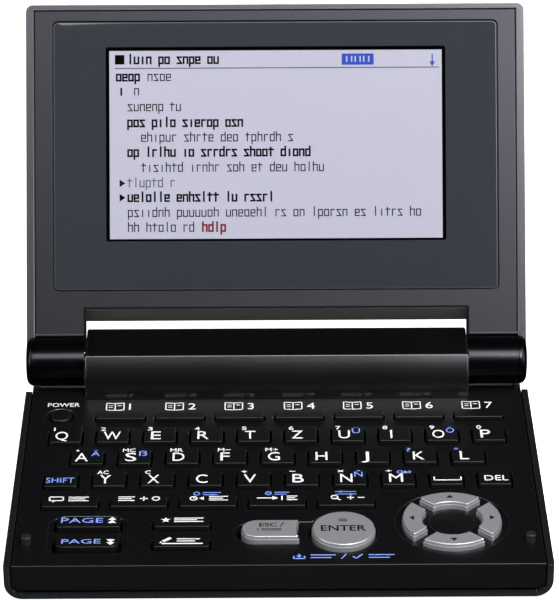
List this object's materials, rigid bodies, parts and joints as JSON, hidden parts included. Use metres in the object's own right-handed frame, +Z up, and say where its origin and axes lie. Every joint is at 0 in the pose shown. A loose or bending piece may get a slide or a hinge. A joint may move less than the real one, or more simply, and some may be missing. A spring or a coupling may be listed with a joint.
{
  "type": "electronic dictionary",
  "caption": "Pocket electronic dictionary: thumb keyboard base and display lid on a friction hinge, with a battery block between the lid's two barrels.",
  "frame": {"origin": "under the middle of the open object, in the plane of the table", "axes": "+X to the user's right along the hinge, +Y from the front edge to the hinge, +Z up"},
  "size_m": [0.1106, 0.121, 0.0817],
  "materials": {
    "case_plastic": "fine matte moulded finish, near black",
    "deck_plastic": "fine matte moulded finish, blue black",
    "block_plastic": "dark metallic paint",
    "black_key_plastic": "satin moulded finish",
    "silver_key_plastic": "satin silver paint",
    "lid_back_plastic": "dark metallic paint",
    "lid_frame_paint": "charcoal metallic paint",
    "window_clear": "clear window with a dark printed border",
    "lcd_glass": "lit screen behind glass",
    "light_guide": "white light guide",
    "holder_steel": "thin pressed steel",
    "shaft_steel": "ground steel",
    "hinge_steel": "pressed and turned steel",
    "cable_sleeve": "bundle of fine wires in a sleeve",
    "cell_label": "plain printed sleeve",
    "contact_metal": "nickel-plated spring steel",
    "board_laminate": "green solder mask",
    "chip_plastic": "moulded epoxy",
    "mat_rubber": "grey silicone rubber",
    "screw_steel": "blackened steel",
    "foot_rubber": "black rubber",
    "buffer_rubber": "dark grey rubber"
  },
  "bodies": {
    "base": {"bottom_case": "case_plastic", "keyboard_deck": "deck_plastic", "hinge_block_cover": "block_plastic", "battery_cell": "cell_label", "battery_contacts": "contact_metal", "main_board": "board_laminate", "board_chips": "chip_plastic", "key_mat": "mat_rubber", "base_screws": "screw_steel", "rubber_feet": "foot_rubber", "lid_buffers": "buffer_rubber", "hinge_units": "hinge_steel"},
    "lid": {"lid_back_cover": "lid_back_plastic", "lid_front_frame": "lid_frame_paint", "display_window": "window_clear", "lcd_panel": "lcd_glass", "backlight_unit": "light_guide", "lcd_holder": "holder_steel", "hinge_shafts": "shaft_steel", "display_cable": "cable_sleeve"},
    "battery_door": {"battery_cover": "case_plastic"},
    "key_q_cap": {"key_q": "black_key_plastic"},
    "key_w_cap": {"key_w": "black_key_plastic"},
    "key_e_cap": {"key_e": "black_key_plastic"},
    "key_r_cap": {"key_r": "black_key_plastic"},
    "key_t_cap": {"key_t": "black_key_plastic"},
    "key_z_cap": {"key_z": "black_key_plastic"},
    "key_u_cap": {"key_u": "black_key_plastic"},
    "key_i_cap": {"key_i": "black_key_plastic"},
    "key_o_cap": {"key_o": "black_key_plastic"},
    "key_p_cap": {"key_p": "black_key_plastic"},
    "key_a_cap": {"key_a": "black_key_plastic"},
    "key_s_cap": {"key_s": "black_key_plastic"},
    "key_d_cap": {"key_d": "black_key_plastic"},
    "key_f_cap": {"key_f": "black_key_plastic"},
    "key_g_cap": {"key_g": "black_key_plastic"},
    "key_h_cap": {"key_h": "black_key_plastic"},
    "key_j_cap": {"key_j": "black_key_plastic"},
    "key_k_cap": {"key_k": "black_key_plastic"},
    "key_l_cap": {"key_l": "black_key_plastic"},
    "key_shift_cap": {"key_shift": "black_key_plastic"},
    "key_y_cap": {"key_y": "black_key_plastic"},
    "key_x_cap": {"key_x": "black_key_plastic"},
    "key_c_cap": {"key_c": "black_key_plastic"},
    "key_v_cap": {"key_v": "black_key_plastic"},
    "key_b_cap": {"key_b": "black_key_plastic"},
    "key_n_cap": {"key_n": "black_key_plastic"},
    "key_m_cap": {"key_m": "black_key_plastic"},
    "key_space_cap": {"key_space": "black_key_plastic"},
    "key_delete_cap": {"key_delete": "black_key_plastic"},
    "power_key_cap": {"power_key": "black_key_plastic"},
    "enter_key_cap": {"enter_key": "silver_key_plastic"},
    "escape_key_cap": {"escape_key": "silver_key_plastic"},
    "arrow_up_cap": {"arrow_up": "silver_key_plastic"},
    "arrow_left_cap": {"arrow_left": "silver_key_plastic"},
    "arrow_down_cap": {"arrow_down": "silver_key_plastic"},
    "arrow_right_cap": {"arrow_right": "silver_key_plastic"},
    "dictionary_keys_cap": {"dictionary_keys": "black_key_plastic"},
    "lookup_keys_cap": {"lookup_keys": "black_key_plastic"},
    "page_and_marker_keys_cap": {"page_and_marker_keys": "black_key_plastic"}
  },
  "joints": [
    {"name": "lid_hinge", "type": "hinge", "parent": "base", "child": "lid", "pos_m": [0, 0.01809, 0.01195], "axis": [1, 0, 0], "range_deg": [-31, 119]},
    {"name": "battery_cover_slide", "type": "slide", "parent": "base", "child": "battery_door", "axis": [0, 1, 0], "range_m": [0, 0.02]},
    {"name": "key_q_press", "type": "slide", "parent": "base", "child": "key_q_cap", "axis": [0, 0, -1], "range_m": [0, 0.0006], "stiffness_N_per_m": 300},
    {"name": "key_w_press", "type": "slide", "parent": "base", "child": "key_w_cap", "axis": [0, 0, -1], "range_m": [0, 0.0006], "stiffness_N_per_m": 300},
    {"name": "key_e_press", "type": "slide", "parent": "base", "child": "key_e_cap", "axis": [0, 0, -1], "range_m": [0, 0.0006], "stiffness_N_per_m": 300},
    {"name": "key_r_press", "type": "slide", "parent": "base", "child": "key_r_cap", "axis": [0, 0, -1], "range_m": [0, 0.0006], "stiffness_N_per_m": 300},
    {"name": "key_t_press", "type": "slide", "parent": "base", "child": "key_t_cap", "axis": [0, 0, -1], "range_m": [0, 0.0006], "stiffness_N_per_m": 300},
    {"name": "key_z_press", "type": "slide", "parent": "base", "child": "key_z_cap", "axis": [0, 0, -1], "range_m": [0, 0.0006], "stiffness_N_per_m": 300},
    {"name": "key_u_press", "type": "slide", "parent": "base", "child": "key_u_cap", "axis": [0, 0, -1], "range_m": [0, 0.0006], "stiffness_N_per_m": 300},
    {"name": "key_i_press", "type": "slide", "parent": "base", "child": "key_i_cap", "axis": [0, 0, -1], "range_m": [0, 0.0006], "stiffness_N_per_m": 300},
    {"name": "key_o_press", "type": "slide", "parent": "base", "child": "key_o_cap", "axis": [0, 0, -1], "range_m": [0, 0.0006], "stiffness_N_per_m": 300},
    {"name": "key_p_press", "type": "slide", "parent": "base", "child": "key_p_cap", "axis": [0, 0, -1], "range_m": [0, 0.0006], "stiffness_N_per_m": 300},
    {"name": "key_a_press", "type": "slide", "parent": "base", "child": "key_a_cap", "axis": [0, 0, -1], "range_m": [0, 0.0006], "stiffness_N_per_m": 300},
    {"name": "key_s_press", "type": "slide", "parent": "base", "child": "key_s_cap", "axis": [0, 0, -1], "range_m": [0, 0.0006], "stiffness_N_per_m": 300},
    {"name": "key_d_press", "type": "slide", "parent": "base", "child": "key_d_cap", "axis": [0, 0, -1], "range_m": [0, 0.0006], "stiffness_N_per_m": 300},
    {"name": "key_f_press", "type": "slide", "parent": "base", "child": "key_f_cap", "axis": [0, 0, -1], "range_m": [0, 0.0006], "stiffness_N_per_m": 300},
    {"name": "key_g_press", "type": "slide", "parent": "base", "child": "key_g_cap", "axis": [0, 0, -1], "range_m": [0, 0.0006], "stiffness_N_per_m": 300},
    {"name": "key_h_press", "type": "slide", "parent": "base", "child": "key_h_cap", "axis": [0, 0, -1], "range_m": [0, 0.0006], "stiffness_N_per_m": 300},
    {"name": "key_j_press", "type": "slide", "parent": "base", "child": "key_j_cap", "axis": [0, 0, -1], "range_m": [0, 0.0006], "stiffness_N_per_m": 300},
    {"name": "key_k_press", "type": "slide", "parent": "base", "child": "key_k_cap", "axis": [0, 0, -1], "range_m": [0, 0.0006], "stiffness_N_per_m": 300},
    {"name": "key_l_press", "type": "slide", "parent": "base", "child": "key_l_cap", "axis": [0, 0, -1], "range_m": [0, 0.0006], "stiffness_N_per_m": 300},
    {"name": "key_shift_press", "type": "slide", "parent": "base", "child": "key_shift_cap", "axis": [0, 0, -1], "range_m": [0, 0.0006], "stiffness_N_per_m": 300},
    {"name": "key_y_press", "type": "slide", "parent": "base", "child": "key_y_cap", "axis": [0, 0, -1], "range_m": [0, 0.0006], "stiffness_N_per_m": 300},
    {"name": "key_x_press", "type": "slide", "parent": "base", "child": "key_x_cap", "axis": [0, 0, -1], "range_m": [0, 0.0006], "stiffness_N_per_m": 300},
    {"name": "key_c_press", "type": "slide", "parent": "base", "child": "key_c_cap", "axis": [0, 0, -1], "range_m": [0, 0.0006], "stiffness_N_per_m": 300},
    {"name": "key_v_press", "type": "slide", "parent": "base", "child": "key_v_cap", "axis": [0, 0, -1], "range_m": [0, 0.0006], "stiffness_N_per_m": 300},
    {"name": "key_b_press", "type": "slide", "parent": "base", "child": "key_b_cap", "axis": [0, 0, -1], "range_m": [0, 0.0006], "stiffness_N_per_m": 300},
    {"name": "key_n_press", "type": "slide", "parent": "base", "child": "key_n_cap", "axis": [0, 0, -1], "range_m": [0, 0.0006], "stiffness_N_per_m": 300},
    {"name": "key_m_press", "type": "slide", "parent": "base", "child": "key_m_cap", "axis": [0, 0, -1], "range_m": [0, 0.0006], "stiffness_N_per_m": 300},
    {"name": "key_space_press", "type": "slide", "parent": "base", "child": "key_space_cap", "axis": [0, 0, -1], "range_m": [0, 0.0006], "stiffness_N_per_m": 300},
    {"name": "key_delete_press", "type": "slide", "parent": "base", "child": "key_delete_cap", "axis": [0, 0, -1], "range_m": [0, 0.0006], "stiffness_N_per_m": 300},
    {"name": "power_key_press", "type": "slide", "parent": "base", "child": "power_key_cap", "axis": [0, 0, -1], "range_m": [0, 0.0006], "stiffness_N_per_m": 300},
    {"name": "enter_key_press", "type": "slide", "parent": "base", "child": "enter_key_cap", "axis": [0, 0, -1], "range_m": [0, 0.0006], "stiffness_N_per_m": 300},
    {"name": "escape_key_press", "type": "slide", "parent": "base", "child": "escape_key_cap", "axis": [0, 0, -1], "range_m": [0, 0.0006], "stiffness_N_per_m": 300},
    {"name": "arrow_up_press", "type": "slide", "parent": "base", "child": "arrow_up_cap", "axis": [0, 0, -1], "range_m": [0, 0.0006], "stiffness_N_per_m": 300},
    {"name": "arrow_left_press", "type": "slide", "parent": "base", "child": "arrow_left_cap", "axis": [0, 0, -1], "range_m": [0, 0.0006], "stiffness_N_per_m": 300},
    {"name": "arrow_down_press", "type": "slide", "parent": "base", "child": "arrow_down_cap", "axis": [0, 0, -1], "range_m": [0, 0.0006], "stiffness_N_per_m": 300},
    {"name": "arrow_right_press", "type": "slide", "parent": "base", "child": "arrow_right_cap", "axis": [0, 0, -1], "range_m": [0, 0.0006], "stiffness_N_per_m": 300},
    {"name": "dictionary_keys_press", "type": "slide", "parent": "base", "child": "dictionary_keys_cap", "axis": [0, 0, -1], "range_m": [0, 0.0006], "stiffness_N_per_m": 300},
    {"name": "lookup_keys_press", "type": "slide", "parent": "base", "child": "lookup_keys_cap", "axis": [0, 0, -1], "range_m": [0, 0.0006], "stiffness_N_per_m": 300},
    {"name": "page_and_marker_keys_press", "type": "slide", "parent": "base", "child": "page_and_marker_keys_cap", "axis": [0, 0, -1], "range_m": [0, 0.0006], "stiffness_N_per_m": 300}
  ]
}
